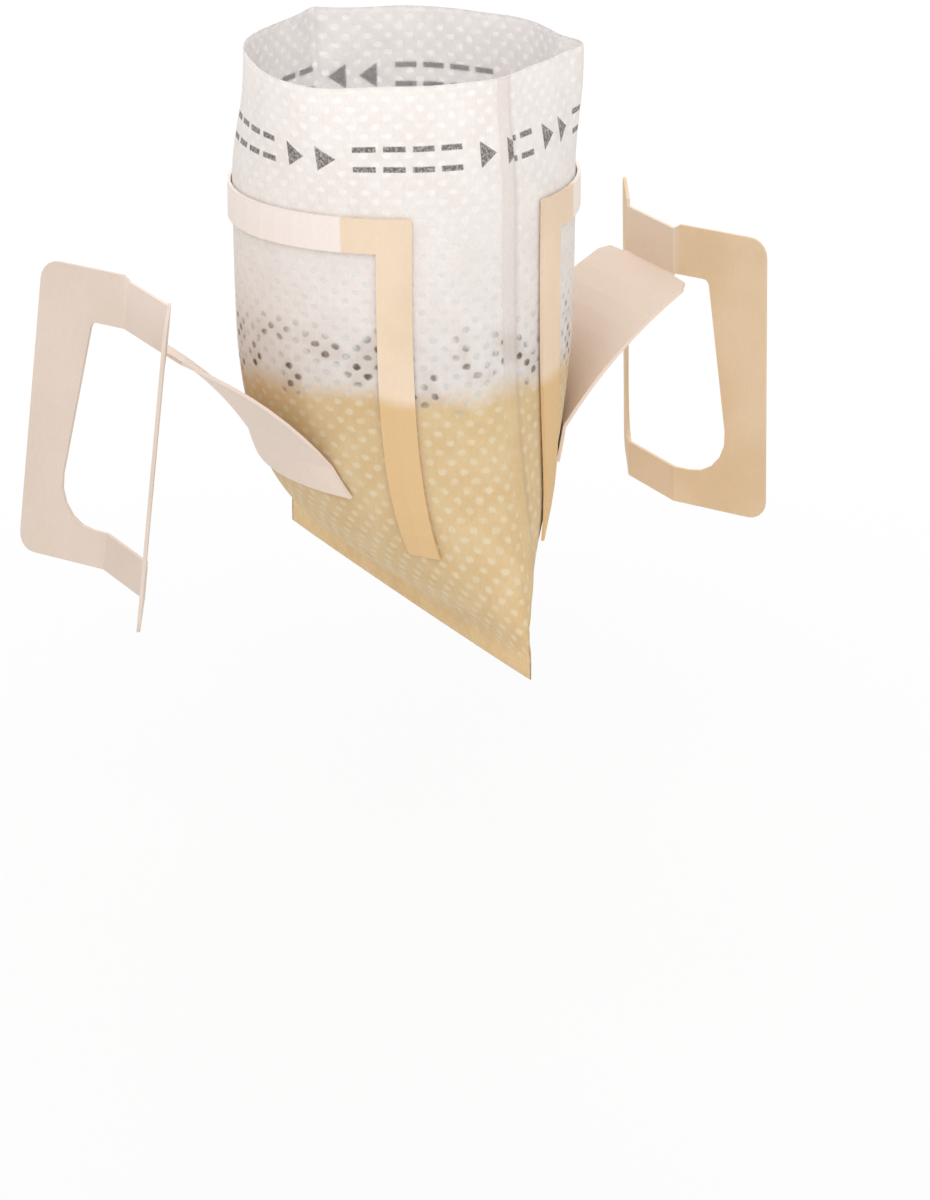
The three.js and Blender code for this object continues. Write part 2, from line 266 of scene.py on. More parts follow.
# Tea leaves against the paper: how far up, round and inward they lie, how they turn, and their lengths
LEAF_SEED = 11
SIDE_LEAF_COUNT = 560
SIDE_LEAF_CROWDING = 1.15
SIDE_LEAF_REACH = 0.93
SIDE_LEAF_INSET = (0.8, 2.6)
SIDE_LEAF_DEEPEST = 0.7
SIDE_LEAF_TURN_X = 0.7
SIDE_LEAF_TURN_Y = 0.9
SIDE_LEAF_LIFT = 0.1
SIDE_LEAF_TILT = 0.4
SIDE_LEAF_LENGTHS = (2.2, 4.2)

# Tea leaves on top of the heap
TOP_LEAF_COUNT = 460
TOP_LEAF_SPREAD = 0.9
TOP_LEAF_REACH = 0.92
TOP_LEAF_CLEARANCE = 1.0
TOP_LEAF_TILT = 0.6
TOP_LEAF_DROP = 0.2
TOP_LEAF_HEIGHTS = (-0.8, 1.1)
TOP_LEAF_LENGTHS = (3.0, 5.5)
TOP_LUMP = 1.2
TOP_LUMP_SCALE = (0.12, 0.12, 0)
TOP_LUMP_START = 2.0

# Room between the leaves and the bag
HEAP_FOOT_RISE = 1.5
HEAP_TOP_DROP = 0.5
CREASE_CLEARANCE = 1.2
FACE_CLEARANCE = 0.35
LEAST_ROOM = 0.05

# Core of the heap, under the leaves
CORE_REACH = 0.97
CORE_STATIONS = 40
CORE_LEVELS = 22
CORE_TOP_DROP = 0.8
CORE_INSET = 1.6
CORE_DEEPEST = 0.6
CORE_LUMP = 0.5
CORE_LUMP_SCALE = (0.5, 0.5, 0.5)


def srgb(red, green, blue):
    """Linear colour from 0 to 255 screen values."""
    def linear(value):
        value /= 255
        return value / 12.92 if value <= 0.04045 else ((value + 0.055) / 1.055) ** 2.4
    return (linear(red), linear(green), linear(blue), 1.0)


# Colours; where there are two, clouds in the surface mix them
OUTER_TONES = (srgb(246, 238, 232), srgb(250, 243, 238))
# The inside paper is paler and whiter than the outside: painted light that lifts the inner wall, which lies
# in shade
INNER_PAINTED_LIGHT_TONES = (srgb(250, 250, 252), srgb(253, 253, 254))
LAP_TONE = srgb(238, 229, 222)
# The dots are real pressed marks, but their lighter colour, dry and soaked, is painted light shining through
# the thinner paper
DRY_DOT_SHINE_THROUGH_TONE = srgb(255, 253, 250)
SOAKED_TONES = (srgb(237, 207, 157), srgb(243, 216, 170))
SOAKED_DOT_SHINE_THROUGH_TONE = srgb(251, 234, 198)
CONTACT_TONE = srgb(166, 130, 92)
CONTACT_DOT_TONE = srgb(104, 70, 42)
INK_TONE = srgb(92, 86, 82)
FRAME_TONES = (srgb(228, 204, 176), srgb(235, 213, 187))
FRAME_MIDDLE_TONE = srgb(242, 230, 223)
FRAME_SOAKED_TONE = srgb(219, 184, 135)
RIGHT_EAR_TONES = (srgb(217, 189, 153), srgb(225, 199, 167))
RIGHT_TONGUE_TONE = srgb(232, 213, 197)
LEFT_EAR_TONES = (srgb(222, 205, 191), srgb(217, 199, 184))
LEFT_TONGUE_TONE = srgb(231, 214, 201)
LEAF_TONES = (srgb(78, 62, 44), srgb(122, 98, 66))
VEIN_TONE = srgb(64, 54, 40)


def smooth_step(low, high, value):
    share = np.clip((value - low) / (high - low), 0, 1)
    return share * share * (3 - 2 * share)


def ripple(x, y, z, scale, start=0):
    """Smooth noise between about -1 and 1 at a place in millimetres."""
    return noise.noise(Vector((x * scale[0], y * scale[1], z * scale[2] + start)))


def add_object(name, data):
    thing = bpy.data.objects.new(name, data)
    bpy.context.scene.collection.objects.link(thing)
    return thing


def make_camera():
    azimuth = math.radians(CAMERA_AZIMUTH)
    elevation = math.radians(CAMERA_ELEVATION)
    data = bpy.data.cameras.new("camera")
    data.sensor_fit = "VERTICAL"
    data.sensor_height = SENSOR
    data.sensor_width = SENSOR
    data.lens = CAMERA_LENS
    data.clip_start = CLIP_NEAR * MM
    data.clip_end = CLIP_FAR * MM
    camera = add_object("camera", data)
    back = Vector((
        math.sin(azimuth) * math.cos(elevation),
        -math.cos(azimuth) * math.cos(elevation),
        math.sin(elevation),
    ))
    camera.location = back * CAMERA_DISTANCE * MM
    aim = Vector((math.cos(azimuth), math.sin(azimuth), 0)) * CAMERA_AIM_SIDE * MM
    aim.z = CAMERA_AIM_HEIGHT * MM
    camera.rotation_mode = "QUATERNION"
    camera.rotation_quaternion = (aim - camera.location).to_track_quat("-Z", "Y")
    bpy.context.scene.camera = camera


class Graph:
    """A material's node tree, with a short call for each kind of node that is used here."""

    def __init__(self, name):
        self.material = bpy.data.materials.new(name)
        self.material.use_nodes = True
        self.tree = self.material.node_tree
        self.tree.nodes.clear()
        self.output = self.tree.nodes.new("ShaderNodeOutputMaterial")

    def feed(self, socket, value):
        if isinstance(value, bpy.types.NodeSocket):
            self.tree.links.new(value, socket)
        else:
            socket.default_value = value

    def math(self, operation, *values):
        node = self.tree.nodes.new("ShaderNodeMath")
        node.operation = operation
        for socket, value in zip(node.inputs, values):
            self.feed(socket, value)
        return node.outputs[0]

    def plus(self, first, second):
        return self.math("ADD", first, second)

    def minus(self, first, second):
        return self.math("SUBTRACT", first, second)

    def times(self, first, second):
        return self.math("MULTIPLY", first, second)

    def rest(self, share):
        """What is left of 1."""
        return self.minus(1.0, share)

    def scaled(self, vector, factor):
        node = self.tree.nodes.new("ShaderNodeVectorMath")
        node.operation = "SCALE"
        self.feed(node.inputs[0], vector)
        self.feed(node.inputs["Scale"], factor)
        return node.outputs[0]

    def split(self, vector):
        node = self.tree.nodes.new("ShaderNodeSeparateXYZ")
        self.feed(node.inputs[0], vector)
        return node.outputs

    def joined(self, first, second):
        node = self.tree.nodes.new("ShaderNodeCombineXYZ")
        self.feed(node.inputs[0], first)
        self.feed(node.inputs[1], second)
        return node.outputs[0]

    def place(self, uv_map):
        """Place on the paper: how far round from the -Y crease, and the height."""
        node = self.tree.nodes.new("ShaderNodeUVMap")
        node.uv_map = uv_map
        parts = self.split(node.outputs[0])
        return self.times(parts[0], PLACE_SCALE), self.times(parts[1], PLACE_SCALE)

    def position(self):
        """Place in the part's own frame, in millimetres."""
        node = self.tree.nodes.new("ShaderNodeTexCoord")
        return self.scaled(node.outputs["Object"], 1 / MM)

    def stretched(self, vector, scale):
        node = self.tree.nodes.new("ShaderNodeMapping")
        self.feed(node.inputs["Vector"], vector)
        node.inputs["Scale"].default_value = scale
        return node.outputs[0]

    def noise(self, vector, scale, detail, roughness):
        node = self.tree.nodes.new("ShaderNodeTexNoise")
        self.feed(node.inputs["Vector"], vector)
        node.inputs["Scale"].default_value = scale
        node.inputs["Detail"].default_value = detail
        node.inputs["Roughness"].default_value = roughness
        return node.outputs[0]

    def ramp(self, value, low, high, to_low=0.0, to_high=1.0):
        node = self.tree.nodes.new("ShaderNodeMapRange")
        node.interpolation_type = "SMOOTHSTEP"
        self.feed(node.inputs["Value"], value)
        node.inputs["From Min"].default_value = low
        node.inputs["From Max"].default_value = high
        node.inputs["To Min"].default_value = to_low
        node.inputs["To Max"].default_value = to_high
        return node.outputs[0]

    def between(self, value, low, high, blur=EDGE_BLUR):
        rise = self.ramp(value, low - blur, low + blur)
        fall = self.ramp(value, high + blur, high - blur)
        return self.times(rise, fall)

    def mixed(self, share, first, second):
        """Mix of two numbers; the node's first sockets are those for numbers."""
        node = self.tree.nodes.new("ShaderNodeMix")
        self.feed(node.inputs[0], share)
        self.feed(node.inputs[2], first)
        self.feed(node.inputs[3], second)
        return node.outputs[0]

    def colour(self, share, first, second):
        """Mix of two colours; the node's last sockets are those for colours."""
        node = self.tree.nodes.new("ShaderNodeMix")
        node.data_type = "RGBA"
        self.feed(node.inputs[0], share)
        self.feed(node.inputs[6], first)
        self.feed(node.inputs[7], second)
        return node.outputs[2]

    def bump(self, height, distance, strength):
        node = self.tree.nodes.new("ShaderNodeBump")
        self.feed(node.inputs["Height"], height)
        node.inputs["Distance"].default_value = distance
        node.inputs["Strength"].default_value = strength
        return node.outputs[0]

    def principled(self, colour, roughness, normal, specular, sheen=0.0):
        node = self.tree.nodes.new("ShaderNodeBsdfPrincipled")
        self.feed(node.inputs["Base Color"], colour)
        self.feed(node.inputs["Roughness"], roughness)
        self.feed(node.inputs["Normal"], normal)
        node.inputs["Specular IOR Level"].default_value = specular
        node.inputs["Sheen Weight"].default_value = sheen
        return node.outputs[0]

    def shader(self, kind, colour):
        node = self.tree.nodes.new(kind)
        self.feed(node.inputs["Color"], colour)
        return node.outputs[0]

    def blend(self, share, first, second):
        node = self.tree.nodes.new("ShaderNodeMixShader")
        self.feed(node.inputs[0], share)
        self.feed(node.inputs[1], first)
        self.feed(node.inputs[2], second)
        return node.outputs[0]

    def finish(self, shader):
        self.tree.links.new(shader, self.output.inputs["Surface"])
        return self.material


def background_rays(tree):
    """1 for rays that show the background: camera, glossy and transmission rays."""
    path = tree.nodes.new("ShaderNodeLightPath")
    total = path.outputs["Is Camera Ray"]
    for name in ("Is Glossy Ray", "Is Transmission Ray"):
        add = tree.nodes.new("ShaderNodeMath")
        add.operation = "MAXIMUM"
        tree.links.new(total, add.inputs[0])
        tree.links.new(path.outputs[name], add.inputs[1])
        total = add.outputs[0]
    return total


def make_world():
    world = bpy.data.worlds.new("studio")
    bpy.context.scene.world = world
    world.use_nodes = True
    tree = world.node_tree
    tree.nodes.clear()
    output = tree.nodes.new("ShaderNodeOutputWorld")
    mix = tree.nodes.new("ShaderNodeMixShader")
    tree.links.new(background_rays(tree), mix.inputs[0])
    for socket, strength in ((mix.inputs[1], AMBIENT), (mix.inputs[2], BACKDROP_GLOW)):
        node = tree.nodes.new("ShaderNodeBackground")
        node.inputs["Color"].default_value = WHITE
        node.inputs["Strength"].default_value = strength
        tree.links.new(node.outputs[0], socket)
    tree.links.new(mix.outputs[0], output.inputs["Surface"])


def make_lamp(name, power, size, place):
    data = bpy.data.lights.new(name, "AREA")
    data.energy = power
    data.size = size
    lamp = add_object(name, data)
    lamp.location = Vector(place)
    lamp.rotation_mode = "QUATERNION"
    lamp.rotation_quaternion = (-lamp.location).to_track_quat("-Z", "Y")


def make_floor():
    half = FLOOR_SIZE / 2 * MM
    height = FLOOR_HEIGHT * MM
    corners = [(x * half, y * half, height) for x, y in ((-1, -1), (1, -1), (1, 1), (-1, 1))]
    mesh = bpy.data.meshes.new("floor")
    mesh.from_pydata(corners, [], [(0, 1, 2, 3)])
    floor = add_object("floor", mesh)
    graph = Graph("floor")
    pale = graph.shader("ShaderNodeBsdfDiffuse", FLOOR_GREY)
    white = graph.shader("ShaderNodeEmission", WHITE)
    shown = graph.times(background_rays(graph.tree), FLOOR_GLOW)
    mesh.materials.append(graph.finish(graph.blend(shown, pale, white)))


class Section:
    """The bag's section at one height. The paper can't stretch, so its depth follows from its width."""

    def __init__(self, z):
        drop = float(np.clip((MOUTH - z) / (BAG_HEIGHT - SEAL_HEIGHT), 0, 1))
        opened = (1 - drop ** FLARE_START) ** FLARE_END
        self.reach = HALF_FACE - (HALF_FACE - MOUTH_RADIUS) * opened
        sharper = CREASE_AT_SEAL - CREASE_AT_MOUTH
        self.sharpness = CREASE_AT_MOUTH + sharper * (MOUTH - z) / BAG_HEIGHT
        turn = np.linspace(0, math.pi / 2, ARC_SAMPLES + 1)
        self.y = self.reach * np.sin(turn)
        profile = np.clip(np.cos(turn), 0, 1) ** (2 * self.sharpness)
        low, high = 0.0, DEEPEST_GUESS * MOUTH_RADIUS
        for _ in range(HALVINGS):
            middle = (low + high) / 2
            if np.hypot(np.diff(middle * profile), np.diff(self.y)).sum() < HALF_FACE:
                low = middle
            else:
                high = middle
        self.depth = max((low + high) / 2, FLATTEST)
        self.x = self.depth * profile
        steps = np.hypot(np.diff(self.x), np.diff(self.y))
        self.length = np.concatenate([[0], np.cumsum(steps)])

    def point(self, u, offset):
        """Place on the +X face, u along the paper from the face's middle, offset outward."""
        along = min(abs(u) / HALF_FACE, 1) * self.length[-1]
        x = np.interp(along, self.length, self.x)
        y = np.interp(along, self.length, self.y)
        near = int(np.clip(np.searchsorted(self.length, along), 1, ARC_SAMPLES))
        dx = self.x[near] - self.x[near - 1]
        dy = self.y[near] - self.y[near - 1]
        step = math.hypot(dx, dy)
        side = 1 if u >= 0 else -1
        return x + dy / step * offset, side * (y - dx / step * offset)

    def room(self, y, clearance):
        """Half the free depth at y, less a clearance."""
        share = min(abs(y) / self.reach, 1)
        return max(self.depth * (1 - share * share) ** self.sharpness - clearance, LEAST_ROOM)


@functools.lru_cache(maxsize=None)
def counted_section(count):
    return Section(count / SECTIONS_IN_A_MM)


def section_near(z):
    """The section at the nearest tenth of a millimetre, worked out once."""
    return counted_section(round(z * SECTIONS_IN_A_MM))


def turn_from(angle, centre):
    """Shortest turn from one angle to another, in degrees."""
    return (angle - centre + HALF_TURN) % (2 * HALF_TURN) - HALF_TURN


def loop_radius(angle):
    """Radius of the open mouth's uneven loop at an angle in degrees."""
    radius = MOUTH_LOOP_RADIUS
    for centre, bulge, spread in MOUTH_LOBES:
        radius += bulge * math.exp(-(turn_from(angle, centre) / spread) ** 2)
    centre, bulge, spread = MOUTH_CREASE
    return radius + bulge * math.exp(-abs(turn_from(angle, centre)) / spread)


def paper_point(section, z, side, u, offset):
    """Place on the finished paper, the mouth's own loop and soft waves included."""
    x, y = section.point(u, offset)
    x, y = side * x, side * y
    radius = math.hypot(x, y)
    opened = float(smooth_step(LOOP_FROM, LOOP_FULL, z))
    wanted = loop_radius(math.degrees(math.atan2(y, x))) + offset
    shift = opened * (wanted - radius) / max(radius, TINY)
    x, y = x * (1 + shift), y * (1 + shift)
    at_foot = float(smooth_step(WAVE_FOOT_FROM, WAVE_FOOT_FULL, z))
    loose = WAVE_BODY + WAVE_MOUTH * opened + WAVE_FOOT * at_foot
    wave = ripple(x, y, z, WAVE_SLOW) * loose
    wave += ripple(x, y, z, WAVE_FINE, WAVE_FINE_START) * WAVE_FINE_SHARE * loose
    if radius > WAVE_FROM_RADIUS:
        room = min(1.0, section.depth / WAVE_FULL_DEPTH)
        x += x / radius * wave * room
        y += y / radius * wave * room
    edge = opened * RIM_WAVE * ripple(x, y, 0, RIM_WAVE_SCALE, RIM_WAVE_START)
    return Vector((x, y, z + edge)) * MM


def bag_stations():
    """Places across a face, from crease to crease, with the lap strip's edges among them."""
    near = -HALF_FACE + LAP_FROM_CREASE
    far = near + LAP_WIDTH
    edges = [near, near + LAP_STEP, far - LAP_STEP, far]
    plain = np.linspace(-HALF_FACE, HALF_FACE, STATIONS)
    kept = [u for u in plain if all(abs(u - edge) > STATION_ROOM for edge in edges)]
    return sorted(kept + edges)


def bag_levels():
    body = np.linspace(MOUTH, SEAL_TOP, BODY_LEVELS)
    seal = np.linspace(SEAL_TOP, BOTTOM, SEAL_LEVELS)[1:]
    return list(body) + list(seal)


class BagMesh:
    """Collects the bag's points, its faces and each face corner's place on the paper."""

    def __init__(self):
        stations = bag_stations()
        face_start = {1: 0, -1: 2 * HALF_FACE}
        self.around = [(side, u) for side in (1, -1) for u in stations[:-1]]
        self.along = [face_start[side] + u + HALF_FACE for side, u in self.around] + [4 * HALF_FACE]
        self.count = len(self.around)
        self.points = []
        self.faces = []
        self.places = []
        self.slots = []

    def add(self, corners, places, slot):
        self.faces.append(corners)
        self.places.extend(places)
        self.slots.append(slot)

    def ring(self, z, offset):
        """Adds the points of one level and gives the number of the first."""
        section = Section(z)
        start = len(self.points)
        lap_from = -HALF_FACE + LAP_FROM_CREASE + LAP_STEP / 2
        lap_to = lap_from + LAP_WIDTH - LAP_STEP
        for side, u in self.around:
            on_lap = offset == 0 and side == 1 and lap_from < u < lap_to
            raised = LAP_RAISE * min(1, section.depth) if on_lap else 0
            self.points.append(paper_point(section, z, side, u, offset + raised))
        return start

    def strip(self, first, second, z_first, z_second, slot):
        """Adds the faces between two rings."""
        for i in range(self.count):
            after = (i + 1) % self.count
            here, there = self.along[i], self.along[i + 1]
            corners = (first + i, second + i, second + after, first + after)
            places = [(here, z_first), (here, z_second), (there, z_second), (there, z_first)]
            self.add(corners, places, slot)

    def cap(self, start, z, up, slot):
        """Closes a flat ring by joining its two faces."""
        half = self.count // 2
        for i in range(half):
            a, b = start + i, start + i + 1
            c, d = start + (self.count - i - 1) % self.count, start + (self.count - i) % self.count
            if i == 0:
                corners = (a, b, c)
            elif i == half - 1:
                corners = (a, b, d)
            else:
                corners = (a, b, c, d)
            if not up:
                corners = tuple(reversed(corners))
            self.add(corners, [(self.along[i], z)] * len(corners), slot)

    def finish(self, name, materials):
        mesh = bpy.data.meshes.new(name)
        mesh.from_pydata([tuple(p) for p in self.points], [], self.faces)
        layer = mesh.uv_layers.new(name="paper")
        layer.data.foreach_set("uv", np.array(self.places, np.float32).ravel() / PLACE_SCALE)
        for material in materials:
            mesh.materials.append(material)
        mesh.polygons.foreach_set("material_index", self.slots)
        mesh.polygons.foreach_set("use_smooth", [True] * len(self.faces))
        mesh.update()
        return add_object(name, mesh)


def make_bag(outside, inside):
    """Thin closed shell: an outer skin down to the sealed edge and an inner one down to the seal."""
    outside_slot, inside_slot = 0, 1
    grid = BagMesh()
    levels = bag_levels()
    inner_levels = [z for z in levels if z > SEAL_TOP + INNER_FLOOR_RISE]
    outer = [grid.ring(z, 0) for z in levels]
    inner = [grid.ring(z, -SHELL) for z in inner_levels]
    for i in range(1, len(levels)):
        grid.strip(outer[i - 1], outer[i], levels[i - 1], levels[i], outside_slot)
    for i in range(1, len(inner_levels)):
        grid.strip(inner[i], inner[i - 1], inner_levels[i], inner_levels[i - 1], inside_slot)
    grid.strip(inner[0], outer[0], MOUTH, MOUTH, outside_slot)
    grid.cap(outer[-1], BOTTOM, False, outside_slot)
    grid.cap(inner[-1], inner_levels[-1], True, outside_slot)
    bag = grid.finish("paper_bag", [outside, inside])
    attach(bag, "root")
    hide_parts("filter_bag")


def dot_mask(graph, s, z):
    """1 inside a pressed dot, on two staggered lattices, with a little unevenness."""
    place = graph.joined(s, z)
    wobble = graph.times(graph.minus(graph.noise(place, *DOT_WOBBLE_NOISE), 0.5), DOT_WOBBLE)
    distances = []
    for shift in (0.0, 0.5):
        parts = []
        for value, pitch, size in ((s, DOT_PITCH, DOT_WIDTH), (z, DOT_ROWS, DOT_HEIGHT)):
            cells = graph.plus(graph.math("DIVIDE", graph.plus(value, wobble), pitch), shift)
            away = graph.minus(graph.math("FRACT", cells), 0.5)
            share = graph.times(away, 2 * pitch / size)
            parts.append(graph.times(share, share))
        distances.append(graph.math("SQRT", graph.plus(*parts)))
    nearest = graph.math("MINIMUM", *distances)
    faded = graph.ramp(graph.noise(place, *DOT_FADE_NOISE), *DOT_FADE)
    return graph.times(graph.ramp(nearest, *DOT_EDGE), faded)


def print_mask(graph, s, z):
    """Ink of the printed band: two plain triangles, then a row of plain paired bars."""
    before_lap = graph.math("LESS_THAN", s, LAP_FROM_CREASE + LAP_WIDTH)
    whole_round = graph.times(before_lap, 4 * HALF_FACE)
    place = graph.minus(graph.plus(s, whole_round), PRINT_START)
    place = graph.times(graph.math("FRACT", graph.math("DIVIDE", place, PRINT_PERIOD)), PRINT_PERIOD)
    height = graph.math("ABSOLUTE", graph.minus(z, PRINT_HEIGHT))
    shapes = []
    for start in TRIANGLE_STARTS:
        share = graph.math("DIVIDE", graph.minus(place, start), TRIANGLE_WIDTH)
        slope = graph.times(graph.rest(share), TRIANGLE_HEIGHT / 2)
        inside = graph.ramp(graph.minus(height, slope), TRIANGLE_BLUR, -TRIANGLE_BLUR)
        shapes.append(graph.times(inside, graph.ramp(share, -TRIANGLE_FOOT_BLUR, TRIANGLE_FOOT_BLUR)))
    rows = graph.between(height, BAR_SPREAD - BAR_THICKNESS / 2, BAR_SPREAD + BAR_THICKNESS / 2)
    for k in range(BAR_COUNT):
        start = BARS_START + k * BAR_PITCH
        shapes.append(graph.times(rows, graph.between(place, start, start + BAR_WIDTH)))
    return functools.reduce(lambda first, second: graph.math("MAXIMUM", first, second), shapes)


class PaperMarks:
    """The marks on the paper, each from 0 to 1, and the noises that colour and roughen it."""

    def __init__(self, graph, ink_strength):
        self.s, self.z = graph.place("paper")
        self.spot = graph.position()
        self.fibre = graph.noise(graph.stretched(self.spot, FIBRE_STRETCH), *FIBRE_NOISE)
        self.cloud = graph.ramp(graph.noise(self.spot, *CLOUD_NOISE), *CLOUD_BAND)
        self.lap = graph.between(self.s, LAP_FROM_CREASE, LAP_FROM_CREASE + LAP_WIDTH)
        self.seal = graph.ramp(self.z, SEAL_TOP + SEAL_BLUR, SEAL_TOP - SEAL_BLUR)
        beside_lap = graph.times(dot_mask(graph, self.s, self.z), graph.rest(self.lap))
        self.dots = graph.times(beside_lap, graph.rest(graph.times(self.seal, SEAL_FLATTENS)))
        drift = graph.times(graph.minus(graph.noise(self.spot, *TIDE_NOISE), 0.5), TIDE_DRIFT)
        self.soaked = graph.ramp(graph.plus(self.z, drift), TIDE_LINE + TIDE_ABOVE, TIDE_LINE - TIDE_BELOW)
        shown = graph.between(self.z, LEAVES_SHOW_TO, LEAVES_SHOW_FROM, LEAVES_SHOW_BLUR)
        self.contact = graph.times(graph.ramp(graph.noise(self.spot, *CONTACT_NOISE), *CONTACT_BAND), shown)
        worn = graph.ramp(graph.noise(self.spot, *WORN_NOISE), *WORN_BAND)
        self.ink = graph.times(graph.times(print_mask(graph, self.s, self.z), worn), ink_strength)


def paper_colour(graph, marks, dry_tones):
    dry = graph.colour(marks.cloud, *dry_tones)
    dry = graph.colour(graph.times(marks.lap, LAP_TINT), dry, LAP_TONE)
    # Painted light: the pressed dots are made lighter, standing in for light shining through the thinner
    # paper
    dry = graph.colour(graph.times(marks.dots, DRY_DOT_SHINE_THROUGH_TINT), dry, DRY_DOT_SHINE_THROUGH_TONE)
    soaked = graph.colour(marks.cloud, *SOAKED_TONES)
    # Painted light: soaked dots are made lighter too, for light shining through them
    soaked = graph.colour(graph.times(marks.dots, SOAKED_DOT_SHINE_THROUGH_TINT), soaked, SOAKED_DOT_SHINE_THROUGH_TONE)
    colour = graph.colour(marks.soaked, dry, soaked)
    colour = graph.colour(graph.times(marks.contact, CONTACT_TINT), colour, CONTACT_TONE)
    touching_dots = graph.times(graph.times(marks.contact, marks.dots), CONTACT_DOT_TINT)
    colour = graph.colour(touching_dots, colour, CONTACT_DOT_TONE)
    colour = graph.colour(marks.ink, colour, INK_TONE)
    return graph.scaled(colour, graph.ramp(marks.fibre, *FIBRE_SHADE))


def paper_normal(graph, marks):
    """Fibres, dots pressed in, and the crossed ridges of the seal."""
    press = graph.times(marks.dots, -1.0)
    ridges = graph.math("SINE", graph.times(graph.plus(marks.s, marks.z), SEAL_RIDGES))
    crossed = graph.math("SINE", graph.times(graph.minus(marks.s, marks.z), SEAL_RIDGES))
    knurl = graph.times(graph.times(ridges, crossed), graph.times(marks.seal, SEAL_RELIEF))
    height = graph.plus(graph.plus(graph.times(marks.fibre, FIBRE_RELIEF), press), knurl)
    return graph.bump(height, PAPER_RELIEF * MM, PAPER_BUMP)


def paper_openness(graph, marks, upper_dots):
    """How much shows straight through: most in the dots, little where soaked, nothing in the print."""
    upper = graph.ramp(marks.z, OPENNESS_FROM, OPENNESS_TO)
    in_dots = graph.ramp(marks.z, OPENNESS_FROM, OPENNESS_TO, LOWER_DOT_OPENNESS, upper_dots)
    dry = graph.plus(graph.times(marks.dots, in_dots), graph.times(upper, UPPER_GROUND_OPENNESS))
    soaked = graph.plus(graph.times(marks.dots, SOAKED_DOT_OPENNESS), SOAKED_OPENNESS)
    return graph.times(graph.mixed(marks.soaked, dry, soaked), graph.rest(marks.ink))


def make_paper(name, ink_strength, translucence, upper_dots, dry_tones):
    """Thin paper, part of whose light passes through, with openings in its pressed dots."""
    graph = Graph(name)
    marks = PaperMarks(graph, ink_strength)
    colour = paper_colour(graph, marks, dry_tones)
    normal = paper_normal(graph, marks)
    body = graph.principled(colour, PAPER_ROUGHNESS, normal, PAPER_SPECULAR, PAPER_SHEEN)
    through = graph.shader("ShaderNodeBsdfTranslucent", colour)
    paper = graph.blend(translucence, body, through)
    clear = graph.shader("ShaderNodeBsdfTransparent", WHITE)
    return graph.finish(graph.blend(paper_openness(graph, marks, upper_dots), paper, clear))


def make_card(name, tones, soaked_tone=None, middle_tone=None, tongue_tone=None):
    """Coated board with fine grain: a frame has a soaked foot and a paler band, an ear has a tongue."""
    graph = Graph(name)
    spot = graph.position()
    x, y, z = graph.split(spot)
    grain = graph.noise(graph.stretched(spot, GRAIN_STRETCH), *GRAIN_NOISE)
    cloud = graph.ramp(graph.noise(spot, *CARD_CLOUD_NOISE), *CLOUD_BAND)
    colour = graph.colour(cloud, *tones)
    if middle_tone is not None:
        middle = graph.ramp(graph.math("ABSOLUTE", y), PALE_HALF + PALE_BLUR, PALE_HALF - PALE_BLUR)
        colour = graph.colour(graph.times(middle, graph.ramp(z, *BAND_FOOT)), colour, middle_tone)
    if tongue_tone is not None:
        inward = graph.ramp(graph.math("ABSOLUTE", x), TONGUE_FROM, TONGUE_FULL)
        colour = graph.colour(inward, colour, tongue_tone)
    if soaked_tone is not None:
        drift = graph.times(graph.noise(spot, *CARD_TIDE_NOISE), CARD_TIDE_DRIFT)
        soaked = graph.ramp(graph.plus(z, drift), TIDE_LINE + TIDE_ABOVE, TIDE_LINE)
        colour = graph.colour(soaked, colour, soaked_tone)
    colour = graph.scaled(colour, graph.ramp(grain, *GRAIN_SHADE))
    normal = graph.bump(grain, CARD_RELIEF * MM, CARD_BUMP)
    roughness = graph.ramp(grain, *GRAIN_ROUGHNESS)
    return graph.finish(graph.principled(colour, roughness, normal, CARD_SPECULAR))


def make_leaf_material():
    graph = Graph("wet_tea_leaf")
    spot = graph.position()
    cloud = graph.ramp(graph.noise(spot, *LEAF_CLOUD_NOISE), *CLOUD_BAND)
    vein = graph.noise(graph.stretched(spot, VEIN_STRETCH), *VEIN_NOISE)
    colour = graph.colour(cloud, *LEAF_TONES)
    colour = graph.colour(graph.ramp(vein, *VEIN_BAND), colour, VEIN_TONE)
    normal = graph.bump(vein, LEAF_RELIEF * MM, LEAF_BUMP)
    roughness = graph.ramp(vein, *VEIN_ROUGHNESS)
    return graph.finish(graph.principled(colour, roughness, normal, LEAF_SPECULAR))


def leaf_points(draw, length):
    """Grid of a curled leaf in its own frame, a closed thin body: top rows then under rows."""
    width = length * draw.uniform(*LEAF_SLIMNESS)
    curl = draw.uniform(*LEAF_CURL)
    twist = draw.uniform(-LEAF_TWIST, LEAF_TWIST)
    phase = draw.uniform(0, LEAF_PHASE)
    points = []
    for under in (0, 1):
        for i in range(LEAF_ROWS + 1):
            along = i / LEAF_ROWS
            fullness = math.sin(math.pi * (LEAF_TIP + (1 - 2 * LEAF_TIP) * along)) ** LEAF_FULLNESS
            half = width / 2 * fullness
            turn = twist * (along - 0.5)
            for j in range(LEAF_COLUMNS + 1):
                across = 2 * j / LEAF_COLUMNS - 1
                bend = curl * across * across * half
                wave = LEAF_RIPPLE * width * math.sin(RIPPLES_ALONG * along + phase + RIPPLES_ACROSS * across)
                local_y, local_z = across * half, bend + wave - under * LEAF_THICKNESS
                y = local_y * math.cos(turn) - local_z * math.sin(turn)
                z = local_y * math.sin(turn) + local_z * math.cos(turn)
                arch = LEAF_ARCH * length * math.sin(math.pi * along)
                points.append(Vector(((along - 0.5) * length, y, z + arch - LEAF_ARCH / 2 * length)))
    return points


